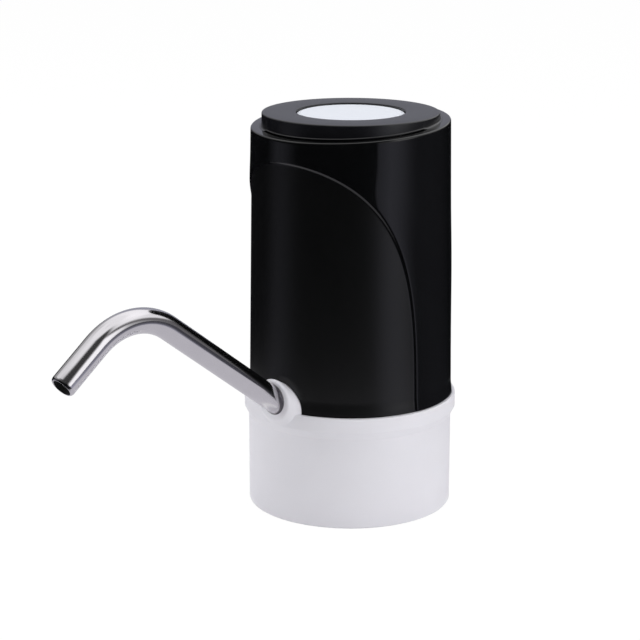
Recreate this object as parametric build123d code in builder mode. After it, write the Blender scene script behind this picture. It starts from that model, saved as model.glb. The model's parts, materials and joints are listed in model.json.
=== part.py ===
"""Rechargeable pump that stands on a water bottle and delivers through a steel spout.

The origin is on the pump's axis in the plane of the base's bottom rim. +Z is up and the
spout points to -Y. Lengths are millimetres and angles are degrees.
"""

import os
from math import acos, cos, pi, radians, sin, sqrt, tan

from build123d import *

os.makedirs("parts", exist_ok=True)

# Fits shared by several pieces
running_fit = 0.05
press_gap = 0.02
seam_clearance = 0.2
stop_clearance = 0.2
embed = 0.5

# White base that stands on the bottle's neck
skirt_wall = 2.0
flange_stand = 1.4
flange_height = 4.8
flange_slope = 2.7
flange_round = 0.6
rim_round = 0.4
neck_radius = 27.75
neck_depth = 22.0
neck_wall = 1.8
deck_thickness = 2.2
deck_room = 13.8
rib_count = 12
rib_depth = 2.7
rib_thickness = 1.4
rib_setback = 1.5

# Soft washer that lands on the bottle's rim
gasket_thickness = 1.5
gasket_width = 6.5
gasket_groove = 0.5
gasket_clearance = 0.25

# Black body
body_step = 0.05
body_taper = 1.37
body_wall = 2.0
body_flare = 0.35
body_flare_height = 5.0
shoulder_round = 0.6
shoulder_slant = 3.5
lip_height = 3.0
lip_thickness = 0.9

# Arches pressed into the front and back of the body
arch_rise_power = 3.2
arch_turn_power = 2.1
arch_depth = 0.4
front_arch_margin = 6.9
front_arch_half_angle = 80.0
front_arch_turn = 3.0
back_arch_margin = 19.3
back_arch_half_angle = 56.0
arch_points = 14

# Lid on its recessed neck
shadow_gap = 0.3
shoulder_width = 4.83
lid_overhang = 1.5
lid_height = 5.1
lid_plate = 2.0
lid_edge_round = 0.5
lid_neck_wall = 1.8
lid_neck_depth = 3.0
lid_neck_clearance = 0.1
ledge_thickness = 1.8
ledge_width = 3.1
hook_angles = (90, 210, 330)
hook_width = 6.0
hook_thickness = 1.7
hook_gap = 0.3
hook_nose = 1.2
hook_nose_height = 1.4

# Push button
button_radius = 17.7
button_gap = 0.35
button_recess = 0.4
button_travel = 1.0
disc_thickness = 1.4
disc_bevel_width = 1.1
disc_bevel_height = 0.35
cap_plate = 2.0
cap_wall = 1.5
cap_flange_width = 1.2
cap_flange_height = 1.7
cap_stem_radius = 2.5
sleeve_wall = 1.6
sleeve_depth = 6.2

# Circuit board under the lid
post_length = 5.5
post_radius = 2.6
post_inset = 4.93
post_angles = (30, 150, 270)
board_thickness = 1.6
board_margin = 0.3
board_notch_margin = 0.6
switch_width = 6.0
switch_height = 3.5
plunger_radius = 1.75
plunger_stand = 1.5
plunger_float = 0.4
usb_width = 9.0
usb_height = 3.2
usb_length = 7.3
usb_wall = 0.35
usb_depth = 6.0
usb_tongue_width = 6.6
usb_tongue_height = 0.7
usb_tongue_length = 4.5
usb_setback = 0.45
usb_slot_margin = 0.3
led_offset = 8.5
led_radius = 1.0
led_block = 2.6
window_radius = 1.2

# Small screws in the board, the motor and the pump
small_screw_radius = 1.0
small_head_radius = 1.9
small_head_height = 1.6
board_screw_length = 6.0

# Long screws that hold base, chassis and body together
long_screw_radius = 1.5
long_head_radius = 2.8
long_head_height = 2.2
long_screw_grip = 9.0
hole_clearance = 0.2
screw_inset = 7.9
screw_angles = (330, 210, 120)
pillar_radius = 3.6
body_boss_height = 12.0
body_boss_rib = 1.6

# Chassis
chassis_rise = 6.0
chassis_plate = 2.0
chassis_clearance = 1.3
cradle_wall = 1.5
cradle_cup = 8.0
cradle_back_gap = 13.0
cradle_inset = 0.69
cradle_clearance = 0.25

# Battery
cell_radius = 9.2
cell_length = 65.0
cell_angle = 65.43
cell_headroom = 3.4
cell_round = 0.8
cell_cap_radius = 3.0
cell_cap_height = 0.6
tab_width = 4.0
tab_thickness = 0.2
lead_radius = 0.7
lead_gap = 0.7

# Gear pump
gear_module = 1.0
gear_teeth = 10
gear_pressure_angle = 25.0
gear_addendum = 0.9
gear_dedendum = 1.15
gear_backlash = 0.2
gear_width = 6.0
gear_tip_clearance = 0.12
gear_end_float = 0.05
flank_points = 4
port_offset = 6.5
port_radius = 2.6
pump_width = 27.0
pump_depth = 24.0
pump_corner = 3.0
pump_screw_inset = 2.7
pump_screw_grip = 6.0
cover_thickness = 3.0
pump_gasket_thickness = 0.6
pump_web = 4.3
pin_radius = 1.5
pin_seat = 1.5
seal_radius = 3.5
seal_thickness = 2.0
spigot_length = 6.0

# Motor
motor_radius = 13.8
motor_can_length = 28.0
motor_wall = 1.0
motor_boss_radius = 5.0
motor_boss_height = 1.2
motor_screw_offset = 8.5
motor_screw_grip = 1.5
motor_screw_seat = 3.0
shaft_radius = 1.15
bearing_radius = 3.0
bearing_length = 2.4
magnet_thickness = 2.4
magnet_length = 22.0
magnet_gap = 8.8
air_gap = 0.6
core_length = 18.0
core_hub_radius = 4.0
core_arm_width = 4.0
core_shoe_thickness = 2.0
core_slot = 3.7
pole_count = 3
winding_height = 2.4
winding_thickness = 1.4
winding_setback = 0.4
commutator_radius = 2.6
commutator_length = 2.1
shaft_end = 1.0
endcap_plate = 2.0
endcap_plug = 2.5
endcap_plug_wall = 1.5
endcap_boss_radius = 4.5
endcap_boss_height = 2.5
terminal_offset = 7.0
terminal_width = 2.4
terminal_thickness = 0.5
terminal_height = 5.0
brush_height = 0.8

# Hoses and the fitting for the dip hose
tube_radius = 4.0
hose_wall = 1.4
hose_fit = 0.05
hose_end_gap = 0.3
elbow_radius = 8.0
elbow_run = 22.0
nipple_bore = 2.9
nipple_length = 13.0
nipple_top_length = 8.5
nipple_stem_radius = 4.9
nipple_flange_radius = 7.5
nipple_flange_height = 2.0
nipple_tip = 0.5
nut_width = 14.0
nut_height = 3.5
nipple_seal_height = 1.0

# Spout and the round boss that holds it
spout_stand = 0.75
spout_rise = 2.8
spout_angle = 36.25
spout_straight = 58.0
spout_bend_radius = 24.4
spout_bend_angle = 72.7
spout_end = 16.7
spout_wall = 0.8
spout_tip_round = 0.3
spout_tail = 11.3
boss_face_stand = 1.9
boss_face_radius = 7.1
boss_face_round = 0.8
boss_root = 3.0
boss_root_radius = 9.6
boss_root_drop = 1.0
boss_mouth_radius = 5.2
boss_mouth_depth = 2.4
boss_clearance = 0.25
socket_radius = 6.0
socket_start = -7.5
socket_end = -3.0
o_ring_section = 0.6
o_ring_place = -4.7
o_ring_clearance = 0.05

# Heights worked out from the sizes above
deck_top = neck_depth + deck_thickness
base_height = deck_top + deck_room
flange_bottom = base_height - flange_height
rabbet_bottom = base_height - lip_height - seam_clearance
chassis_bottom = base_height + chassis_rise
chassis_top = chassis_bottom + chassis_plate
cover_top = chassis_top + cover_thickness
chamber_bottom = cover_top + pump_gasket_thickness
chamber_top = chamber_bottom + gear_width + 2 * gear_end_float
pump_top = chamber_top + pump_web
can_top = pump_top + motor_can_length
endcap_top = can_top + endcap_plate
cell_bottom = chassis_top + tab_thickness
cell_top = cell_bottom + cell_length
board_bottom = cell_top + cell_cap_height + tab_thickness + cell_headroom
board_top = board_bottom + board_thickness
ledge_bottom = board_top + post_length
ledge_top = ledge_bottom + ledge_thickness
shoulder_z = ledge_top + lid_neck_depth
body_height = shoulder_z - base_height
lid_bottom = shoulder_z + shadow_gap
lid_top = lid_bottom + lid_height
switch_top = board_top + switch_height
plunger_top = switch_top + plunger_stand
disc_top = lid_top - button_recess
disc_bottom = disc_top - disc_thickness
sleeve_bottom = lid_top - sleeve_depth
cap_flange_top = sleeve_bottom - stop_clearance
cap_bottom = cap_flange_top - cap_flange_height

# Radii and places worked out from the sizes above
base_inner = neck_radius + neck_wall + rib_depth
base_radius = base_inner + skirt_wall
flange_radius = base_radius + flange_stand
body_bottom_radius = base_radius + body_step
body_top_radius = body_bottom_radius - body_taper
body_slope = -body_taper / body_height
shoulder_peak = shoulder_z + 2 * body_top_radius * tan(radians(shoulder_slant)) + embed
body_inner = body_bottom_radius - body_wall
lip_radius = body_inner + lip_thickness
rabbet_radius = lip_radius + seam_clearance
opening_radius = body_top_radius - shoulder_width
lid_neck_radius = opening_radius - lid_neck_clearance
lid_radius = lid_neck_radius + lid_overhang
ledge_inner = opening_radius - ledge_width
button_hole = button_radius + button_gap
post_circle = body_top_radius - body_wall - post_inset
screw_circle = body_inner - screw_inset
spout_reach = base_radius + spout_stand
boss_face = spout_reach + boss_face_stand
boss_back = spout_reach - boss_root
hose_bore = tube_radius + hose_fit
hose_radius = hose_bore + hose_wall
gear_radius = gear_module * gear_teeth / 2
gear_tip_radius = gear_radius + gear_module * gear_addendum
chamber_radius = gear_tip_radius + gear_tip_clearance
outlet_reach = spout_reach - elbow_run
pump_y = port_offset - outlet_reach
drive_place = (-gear_radius, pump_y)
driven_place = (gear_radius, pump_y)
inlet_place = (0, pump_y + port_offset)
outlet_place = (0, pump_y - port_offset)
pump_screw_x = pump_width / 2 - pump_screw_inset
pump_screw_y = pump_depth / 2 - pump_screw_inset
pump_screw_places = [
    (x, pump_y + y) for x in (-pump_screw_x, pump_screw_x) for y in (-pump_screw_y, pump_screw_y)
]
motor_screw_places = [(drive_place[0], pump_y + y) for y in (-motor_screw_offset, motor_screw_offset)]
board_radius = post_circle + post_radius + board_margin
can_inner = motor_radius - motor_wall
magnet_inner = can_inner - magnet_thickness
core_radius = magnet_inner - air_gap
core_bottom = pump_top + (motor_can_length - core_length) / 2
commutator_bottom = can_top - commutator_length - stop_clearance


def body_radius(z):
    """Radius of the body's cone at a height."""
    return body_bottom_radius + body_slope * (z - base_height)


def circle_places(radius, angles):
    """Places on a circle about the pump's axis."""
    return [(radius * cos(radians(a)), radius * sin(radians(a))) for a in angles]


def spout_point(distance):
    """Point on the spout's straight axis, as reach from the pump's axis and height."""
    reach = spout_reach + distance * cos(radians(spout_angle))
    height = base_height + spout_rise + distance * sin(radians(spout_angle))
    return (reach, height)


def spout_section(distance):
    """Plane square to the spout's straight axis, facing out along it."""
    reach, height = spout_point(distance)
    outward = (0, -cos(radians(spout_angle)), sin(radians(spout_angle)))
    return Plane(origin=(0, -reach, height), x_dir=(1, 0, 0), z_dir=outward)


def front_plane(reach, height):
    """Upright plane that faces the front, at a distance from the pump's axis."""
    return Plane(origin=(0, -reach, height), x_dir=(1, 0, 0), z_dir=(0, -1, 0))


def shoulder_plane(lift):
    """Slanted plane of the shoulder, lowest at the front, moved up by a lift."""
    facing = (0, -sin(radians(shoulder_slant)), cos(radians(shoulder_slant)))
    return Plane(origin=(0, -body_top_radius, shoulder_z + lift), x_dir=(1, 0, 0), z_dir=facing)


def drive_plane(z):
    """Level plane centred on the motor's axis."""
    return Plane(origin=(*drive_place, z))


chassis_radius = body_radius(chassis_top) - body_wall - chassis_clearance
cradle_inner = cell_radius + cradle_clearance
cradle_outer = cradle_inner + cradle_wall
cell_place = circle_places(chassis_radius - cradle_outer - cradle_inset, [cell_angle])[0]
# Level plane under the battery: its x runs away from the pump's axis
cell_plane = Plane(origin=(*cell_place, chassis_top), x_dir=(*cell_place, 0), z_dir=(0, 0, 1))
# Upright plane through the inlet's axis: its x runs right and its y runs up
inlet_plane = Plane(origin=(*inlet_place, 0), x_dir=(1, 0, 0), z_dir=(0, -1, 0))
# Upright plane through the spout: its x runs to the front and its y runs up
spout_plane = Plane(origin=(0, 0, 0), x_dir=(0, -1, 0), z_dir=(-1, 0, 0))
screw_places = circle_places(screw_circle, screw_angles)
post_places = circle_places(post_circle, post_angles)
boss_face_height = base_height + spout_rise + (boss_face - spout_reach) * tan(radians(spout_angle))
boss_back_height = base_height - boss_root_drop


def finish(piece, name):
    """Label a piece and write it to its own file."""
    piece.part.label = name
    export_step(piece.part, f"parts/{name}.step")


# White base: skirt, deck, screw pillars and spout boss
with BuildPart() as base_collar:
    with BuildSketch(Plane.XZ):
        with BuildLine():
            Polyline(
                (0, neck_depth),
                (base_inner, neck_depth),
                (base_inner, 0),
                (base_radius, 0),
                (base_radius, flange_bottom - flange_slope),
                (flange_radius, flange_bottom),
                (flange_radius, base_height),
                (rabbet_radius, base_height),
                (rabbet_radius, rabbet_bottom),
                (base_inner, rabbet_bottom),
                (base_inner, deck_top),
                (0, deck_top),
                close=True,
            )
        make_face()
    revolve(axis=Axis.Z)
    flange_rims = edges().filter_by(GeomType.CIRCLE).sort_by(SortBy.RADIUS)[-2:]
    fillet(flange_rims.sort_by(Axis.Z)[-1], flange_round)
    bottom_rims = edges().filter_by(GeomType.CIRCLE).group_by(Axis.Z)[0]
    fillet(bottom_rims.sort_by(SortBy.RADIUS)[-1], rim_round)
    with BuildSketch(Plane.XY.offset(deck_top - embed)):
        with Locations(*screw_places):
            Circle(pillar_radius)
    extrude(amount=chassis_bottom - deck_top + embed)
    with BuildSketch(front_plane(boss_back, boss_back_height)):
        Circle(boss_root_radius)
    with BuildSketch(front_plane(boss_face, boss_face_height)):
        Circle(boss_face_radius)
    loft()
    fillet(faces().sort_by(Axis.Y)[0].edges(), boss_face_round)
    with BuildSketch(spout_section(socket_start)):
        Circle(socket_radius)
    extrude(amount=socket_end - socket_start)
    with BuildSketch(front_plane(boss_face + embed, boss_face_height)):
        Circle(boss_mouth_radius)
    extrude(amount=-(boss_mouth_depth + embed), mode=Mode.SUBTRACT)
    with BuildSketch(spout_section(socket_start - embed)):
        Circle(tube_radius + running_fit)
    extrude(amount=boss_face, mode=Mode.SUBTRACT)
    with BuildSketch(spout_section(o_ring_place)):
        Circle(tube_radius + 2 * (o_ring_section + o_ring_clearance))
    extrude(amount=o_ring_section + o_ring_clearance, both=True, mode=Mode.SUBTRACT)
    with BuildSketch(Plane.XY.offset(neck_depth)):
        with Locations(*screw_places):
            Circle(long_head_radius + hole_clearance)
    extrude(amount=long_head_height, mode=Mode.SUBTRACT)
    with BuildSketch(Plane.XY.offset(neck_depth)):
        with Locations(*screw_places):
            Circle(long_screw_radius + hole_clearance)
    extrude(amount=chassis_bottom - neck_depth, mode=Mode.SUBTRACT)
    with BuildSketch(Plane.XY.offset(neck_depth)):
        with Locations(inlet_place):
            Circle(nipple_stem_radius + running_fit)
    extrude(amount=deck_thickness, mode=Mode.SUBTRACT)
finish(base_collar, "base_collar")

# Ribbed insert pressed into the base: takes the bottle's neck and keeps the washer in place
with BuildPart() as neck_insert:
    insert_height = neck_depth - press_gap
    with BuildSketch():
        Circle(neck_radius + neck_wall)
        Circle(neck_radius, mode=Mode.SUBTRACT)
    extrude(amount=insert_height)
    rib_inner = neck_radius + neck_wall - embed
    rib_outer = base_inner - press_gap
    with BuildSketch(Plane.XY.offset(rib_setback)):
        with PolarLocations((rib_inner + rib_outer) / 2, rib_count, start_angle=180 / rib_count):
            Rectangle(rib_outer - rib_inner, rib_thickness)
    extrude(amount=insert_height - rib_setback)
    with BuildSketch(Plane.XY.offset(neck_depth - gasket_thickness)):
        Circle(neck_radius + gasket_groove)
    extrude(amount=gasket_thickness, mode=Mode.SUBTRACT)
finish(neck_insert, "neck_insert")

# Soft washer under the deck
with BuildPart() as neck_gasket:
    gasket_outer = neck_radius + gasket_groove - gasket_clearance
    with BuildSketch(Plane.XY.offset(neck_depth - gasket_thickness)):
        Circle(gasket_outer)
        Circle(gasket_outer - gasket_width, mode=Mode.SUBTRACT)
    extrude(amount=gasket_thickness)
finish(neck_gasket, "neck_gasket")


def arch_cutter(height, half_angle, facing):
    """Thin slice of the body's surface inside one arch, facing the front (-1) or back (1)."""
    apex_z = base_height + height
    outline = []
    for step in range(arch_points):
        share = sin(step / (arch_points - 1) * pi / 2)
        turn = radians(half_angle) * (1 - share**arch_rise_power) ** (1 / arch_turn_power)
        z = base_height + height * share
        outline.append((facing * body_radius(z) * cos(turn), z))
    far = facing * 2 * body_bottom_radius
    with BuildPart() as cutter:
        with BuildSketch(Plane.XZ):
            with BuildLine():
                Polyline(
                    (body_radius(base_height) - arch_depth, base_height),
                    (body_radius(apex_z) - arch_depth, apex_z),
                    (body_bottom_radius + 2 * body_flare, apex_z),
                    (body_bottom_radius + 2 * body_flare, base_height),
                    close=True,
                )
            make_face()
        revolve(axis=Axis.Z)
        with BuildSketch(Plane.YZ):
            with BuildLine():
                Spline(*outline)
                Polyline(outline[-1], (far, apex_z), (far, base_height), outline[0])
            make_face()
        extrude(amount=2 * body_bottom_radius, both=True, mode=Mode.INTERSECT)
    return cutter.part


# Black body: tapering shell, slanted shoulder, lid ledge, board posts, screw bosses
with BuildPart() as upper_housing:
    with BuildSketch(Plane.XZ):
        with BuildLine():
            Polyline(
                (body_inner, base_height - lip_height),
                (lip_radius, base_height - lip_height),
                (lip_radius, base_height),
                (body_bottom_radius + body_flare, base_height),
                (body_radius(base_height + body_flare_height), base_height + body_flare_height),
                (body_radius(shoulder_peak), shoulder_peak),
                (opening_radius, shoulder_peak),
                (opening_radius, ledge_top),
                (ledge_inner, ledge_top),
                (ledge_inner, ledge_bottom),
                (body_radius(ledge_bottom) - body_wall, ledge_bottom),
                (body_inner, base_height),
                close=True,
            )
        make_face()
    revolve(axis=Axis.Z)
    split(bisect_by=shoulder_plane(0), keep=Keep.BOTTOM)
    shoulder_rims = faces().sort_by(Axis.Z)[-1].edges()
    fillet(shoulder_rims.sort_by(SortBy.LENGTH)[-1], shoulder_round)
    front_arch = arch_cutter(body_height - front_arch_margin, front_arch_half_angle, -1)
    add(front_arch.rotate(Axis.Z, front_arch_turn), mode=Mode.SUBTRACT)
    add(arch_cutter(body_height - back_arch_margin, back_arch_half_angle, 1), mode=Mode.SUBTRACT)
    with BuildSketch(front_plane(boss_back - embed, boss_back_height)):
        Circle(boss_root_radius + boss_clearance)
    with BuildSketch(front_plane(boss_face, boss_face_height)):
        Circle(boss_face_radius + boss_clearance)
    loft(mode=Mode.SUBTRACT)
    with BuildSketch(Plane.XY.offset(board_top)):
        with Locations(*post_places):
            Circle(post_radius)
    extrude(amount=post_length + embed)
    with BuildSketch(Plane.XY.offset(board_top)):
        with Locations(*post_places):
            Circle(small_screw_radius + running_fit)
    extrude(amount=board_screw_length - board_thickness + embed, mode=Mode.SUBTRACT)
    with BuildSketch(Plane.XY.offset(chassis_top)):
        with Locations(*screw_places):
            Circle(pillar_radius)
        rib_end = body_radius(chassis_top + body_boss_height) - body_wall + embed
        for angle in screw_angles:
            with PolarLocations((screw_circle + rib_end) / 2, 1, start_angle=angle):
                Rectangle(rib_end - screw_circle, body_boss_rib)
    extrude(amount=body_boss_height)
    with BuildSketch(Plane.XY.offset(chassis_top)):
        with Locations(*screw_places):
            Circle(long_screw_radius + running_fit)
    extrude(amount=long_screw_grip + embed, mode=Mode.SUBTRACT)
    usb_z = board_top + usb_height / 2
    with BuildSketch(Plane.XZ.offset(-body_bottom_radius)):
        with Locations((0, usb_z)):
            RectangleRounded(
                usb_width + 2 * usb_slot_margin,
                usb_height + 2 * usb_slot_margin,
                usb_height / 2,
            )
        with Locations((led_offset, usb_z)):
            Circle(window_radius + running_fit)
    extrude(amount=body_bottom_radius - post_circle, mode=Mode.SUBTRACT)
finish(upper_housing, "upper_housing")

# Lid: top plate, wall with a slanted foot, neck that rests on the ledge, button sleeve and snap hooks
with BuildPart() as top_lid:
    with BuildSketch(Plane.XZ):
        with BuildLine():
            Polyline(
                (button_hole, lid_top),
                (lid_radius, lid_top),
                (lid_radius, lid_bottom),
                (lid_neck_radius, lid_bottom),
                (lid_neck_radius, ledge_top),
                (lid_neck_radius - lid_neck_wall, ledge_top),
                (lid_neck_radius - lid_neck_wall, lid_top - lid_plate),
                (button_hole + sleeve_wall, lid_top - lid_plate),
                (button_hole + sleeve_wall, sleeve_bottom),
                (button_hole, sleeve_bottom),
                close=True,
            )
        make_face()
    revolve(axis=Axis.Z)
    lid_rims = edges().filter_by(GeomType.CIRCLE).group_by(Axis.Z)[-1]
    fillet(lid_rims.sort_by(SortBy.RADIUS)[-1], lid_edge_round)
    with BuildPart(mode=Mode.SUBTRACT):
        with BuildSketch(Plane.XY.offset(lid_bottom - embed)):
            Circle(lid_radius + embed)
            Circle(lid_neck_radius, mode=Mode.SUBTRACT)
        extrude(amount=lid_height)
        split(bisect_by=shoulder_plane(shadow_gap), keep=Keep.BOTTOM)
    hook_outer = ledge_inner - hook_gap
    hook_inner = hook_outer - hook_thickness
    hook_bottom = ledge_bottom - stop_clearance - hook_nose_height
    bridge_outer = lid_neck_radius - lid_neck_wall + embed
    for angle in hook_angles:
        with BuildSketch(Plane.XY.offset(hook_bottom)):
            with PolarLocations((hook_inner + hook_outer) / 2, 1, start_angle=angle):
                Rectangle(hook_thickness, hook_width)
        extrude(amount=lid_top - lid_plate + embed - hook_bottom)
        with BuildSketch(Plane.XY.offset(hook_bottom)):
            with PolarLocations(hook_outer + hook_nose / 2, 1, start_angle=angle):
                Rectangle(hook_nose, hook_width)
        extrude(amount=hook_nose_height)
        with BuildSketch(Plane.XY.offset(ledge_top + stop_clearance)):
            with PolarLocations((hook_outer + bridge_outer) / 2, 1, start_angle=angle):
                Rectangle(bridge_outer - hook_outer, hook_width)
        extrude(amount=lid_top - lid_plate + embed - ledge_top - stop_clearance)
finish(top_lid, "top_lid")

# Sliding carrier of the button, with its stop flange and stem
with BuildPart() as button_cap:
    with BuildSketch(Plane.XZ):
        with BuildLine():
            Polyline(
                (0, plunger_top),
                (cap_stem_radius, plunger_top),
                (cap_stem_radius, disc_bottom - cap_plate),
                (button_radius - cap_wall, disc_bottom - cap_plate),
                (button_radius - cap_wall, cap_bottom),
                (button_radius + cap_flange_width, cap_bottom),
                (button_radius + cap_flange_width, cap_flange_top),
                (button_radius, cap_flange_top),
                (button_radius, disc_bottom),
                (0, disc_bottom),
                close=True,
            )
        make_face()
    revolve(axis=Axis.Z)
finish(button_cap, "button_cap")

# Bright plate on the button, bevelled around its rim
with BuildPart() as button_disc:
    with BuildSketch(Plane.XZ):
        with BuildLine():
            Polyline(
                (0, disc_bottom),
                (button_radius, disc_bottom),
                (button_radius, disc_top - disc_bevel_height),
                (button_radius - disc_bevel_width, disc_top),
                (0, disc_top),
                close=True,
            )
        make_face()
    revolve(axis=Axis.Z)
finish(button_disc, "button_disc")

# Circuit board, notched where it passes the screw bosses
with BuildPart() as circuit_board:
    with BuildSketch(Plane.XY.offset(board_bottom)):
        Circle(board_radius)
        for angle in screw_angles:
            with PolarLocations(board_radius, 1, start_angle=angle):
                SlotCenterToCenter(
                    2 * (board_radius - screw_circle),
                    2 * (pillar_radius + board_notch_margin),
                    mode=Mode.SUBTRACT,
                )
        with Locations(*post_places):
            Circle(small_screw_radius + hole_clearance, mode=Mode.SUBTRACT)
    extrude(amount=board_thickness)
finish(circuit_board, "circuit_board")

# Screws that hold the board to the posts, heads below
with BuildPart() as board_screws:
    with BuildSketch(Plane.XY.offset(board_bottom - small_head_height)):
        with Locations(*post_places):
            Circle(small_head_radius)
    extrude(amount=small_head_height)
    with BuildSketch(Plane.XY.offset(board_bottom)):
        with Locations(*post_places):
            Circle(small_screw_radius)
    extrude(amount=board_screw_length)
finish(board_screws, "board_screws")

# Push switch under the button: body with its plunger hole
with BuildPart() as switch_body:
    with BuildSketch(Plane.XY.offset(board_top)):
        Rectangle(switch_width, switch_width)
    extrude(amount=switch_height)
    chamfer(edges().group_by(Axis.Z)[-1], embed / 2)
    plunger_bottom = plunger_top - plunger_stand - button_travel - plunger_float
    with BuildSketch(Plane.XY.offset(plunger_bottom - button_travel - plunger_float / 2)):
        Circle(plunger_radius + running_fit)
    extrude(amount=switch_height, mode=Mode.SUBTRACT)
finish(switch_body, "switch_body")

with BuildPart() as switch_plunger:
    with BuildSketch(Plane.XY.offset(plunger_bottom)):
        Circle(plunger_radius)
    extrude(amount=plunger_top - plunger_bottom)
finish(switch_plunger, "switch_plunger")

# Charging socket at the back edge of the board, with its tongue
with BuildPart() as usb_socket:
    wall_at_usb = body_radius(usb_z) - body_wall
    usb_mouth = sqrt(wall_at_usb**2 - (usb_width / 2) ** 2) - usb_setback
    with BuildSketch(Plane.XZ.offset(-usb_mouth)):
        with Locations((0, usb_z)):
            RectangleRounded(usb_width, usb_height, usb_height / 2 - usb_wall)
    extrude(amount=usb_length)
    with BuildSketch(Plane.XZ.offset(-usb_mouth)):
        with Locations((0, usb_z)):
            RectangleRounded(
                usb_width - 2 * usb_wall,
                usb_height - 2 * usb_wall,
                usb_height / 2 - 2 * usb_wall,
            )
    extrude(amount=usb_depth, mode=Mode.SUBTRACT)
    with BuildSketch(Plane.XZ.offset(-(usb_mouth - usb_depth - embed))):
        with Locations((0, usb_z)):
            Rectangle(usb_tongue_width, usb_tongue_height)
    extrude(amount=-(usb_tongue_length + embed))
finish(usb_socket, "usb_socket")

# Charging light beside the socket, and the clear window in front of it
with BuildPart() as charge_led:
    led_front = sqrt((wall_at_usb - usb_setback) ** 2 - (led_offset + led_radius) ** 2)
    led_seat = sqrt(board_radius**2 - (led_offset + led_block / 2) ** 2) - led_block
    with BuildSketch(Plane.XY.offset(board_top)):
        with Locations((led_offset, led_seat + led_block / 2)):
            Rectangle(led_block, led_block)
    extrude(amount=usb_height)
    with BuildSketch(Plane.XZ.offset(-led_seat - led_block / 2)):
        with Locations((led_offset, usb_z)):
            Circle(led_radius)
    extrude(amount=-(led_front - led_seat - led_block / 2))
finish(charge_led, "charge_led")

with BuildPart() as led_window:
    with BuildSketch(Plane.XZ.offset(-led_front - running_fit)):
        with Locations((led_offset, usb_z)):
            Circle(window_radius)
    window_end = sqrt(body_radius(usb_z + window_radius) ** 2 - (led_offset + window_radius) ** 2)
    extrude(amount=-(window_end - led_front))
finish(led_window, "led_window")

# Chips on the board: charger, controller, two capacitors
chip_sizes = [(6.0, 5.0, 1.6), (5.0, 4.0, 1.5), (3.2, 2.5, 2.0), (3.2, 2.5, 2.0)]
chip_places = [(-11.0, 8.0), (-13.0, -4.0), (11.0, 4.0), (11.0, -2.0)]
with BuildPart() as board_chips:
    for (length, width, height), place in zip(chip_sizes, chip_places):
        with BuildSketch(Plane.XY.offset(board_top)):
            with Locations(place):
                Rectangle(length, width)
        extrude(amount=height)
finish(board_chips, "board_chips")

# Chassis: plate with hose holes, battery cup and half-round battery back
with BuildPart() as chassis:
    with BuildSketch(Plane.XY.offset(chassis_bottom)):
        Circle(chassis_radius)
        with Locations(inlet_place, outlet_place):
            Circle(hose_radius + boss_clearance, mode=Mode.SUBTRACT)
        with Locations(*screw_places):
            Circle(long_screw_radius + hole_clearance, mode=Mode.SUBTRACT)
        with Locations(*pump_screw_places):
            Circle(small_screw_radius + hole_clearance, mode=Mode.SUBTRACT)
        with Locations((0, -chassis_radius)):
            Rectangle(
                2 * (socket_radius + chassis_clearance),
                2 * (chassis_radius + pump_y - pump_depth / 2 + chassis_clearance) + 2 * embed,
                mode=Mode.SUBTRACT,
            )
    extrude(amount=chassis_plate)
    with BuildSketch(cell_plane.offset(-embed)):
        Circle(cradle_outer)
        Circle(cradle_inner, mode=Mode.SUBTRACT)
        with Locations((-cradle_inner, 0)):
            Rectangle(4 * cradle_wall, tab_width + 2 * cradle_clearance, mode=Mode.SUBTRACT)
    extrude(amount=cradle_cup + embed)
    with BuildSketch(cell_plane.offset(-embed)):
        Circle(cradle_outer)
        Circle(cradle_inner, mode=Mode.SUBTRACT)
        with Locations((-cradle_outer / 2, 0)):
            Rectangle(cradle_outer, 2 * cradle_outer, mode=Mode.SUBTRACT)
    extrude(amount=cell_length - cradle_back_gap + embed)
finish(chassis, "chassis")

# Battery in the chassis's cup
with BuildPart() as battery_cell:
    with BuildSketch(cell_plane.offset(tab_thickness)):
        Circle(cell_radius)
    extrude(amount=cell_length)
    fillet(edges().filter_by(GeomType.CIRCLE), cell_round)
    with BuildSketch(cell_plane.offset(tab_thickness + cell_length - embed)):
        Circle(cell_cap_radius)
    extrude(amount=cell_cap_height + embed)
finish(battery_cell, "battery_cell")

# Strips welded to the battery's two ends
with BuildPart() as battery_tabs:
    lead_reach = cell_radius + lead_gap + lead_radius
    strip_end = lead_reach + lead_radius
    with BuildSketch(cell_plane):
        with Locations(((tab_width / 2 - strip_end) / 2, 0)):
            Rectangle(strip_end + tab_width / 2, tab_width)
    extrude(amount=tab_thickness)
    with BuildSketch(cell_plane.offset(tab_thickness + cell_length + cell_cap_height)):
        Rectangle(2 * tab_width, tab_width)
    extrude(amount=tab_thickness)
finish(battery_tabs, "battery_tabs")

# Wires from the strips up to the board
with BuildPart() as battery_leads:
    with BuildSketch(cell_plane.offset(tab_thickness)):
        with Locations((-lead_reach, 0)):
            Circle(lead_radius)
    extrude(amount=board_bottom - cell_bottom)
    with BuildSketch(cell_plane.offset(2 * tab_thickness + cell_length + cell_cap_height)):
        Circle(lead_radius)
    extrude(amount=board_bottom - cell_top - cell_cap_height - tab_thickness)
finish(battery_leads, "battery_leads")


def pump_outline():
    """Rounded plan of the gear pump, drawn into the open sketch."""
    with Locations((0, pump_y)):
        RectangleRounded(pump_width, pump_depth, pump_corner)


def chamber_outline():
    """Gear chamber with its two ports, cut from the open sketch."""
    with Locations(drive_place, driven_place):
        Circle(chamber_radius, mode=Mode.SUBTRACT)
    with Locations(inlet_place, outlet_place):
        Circle(port_radius, mode=Mode.SUBTRACT)
    with Locations((0, pump_y)):
        Rectangle(2 * port_radius, 2 * port_offset, mode=Mode.SUBTRACT)


def pump_holes(places, radius):
    """Round holes cut from the open sketch."""
    with Locations(*places):
        Circle(radius, mode=Mode.SUBTRACT)


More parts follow.
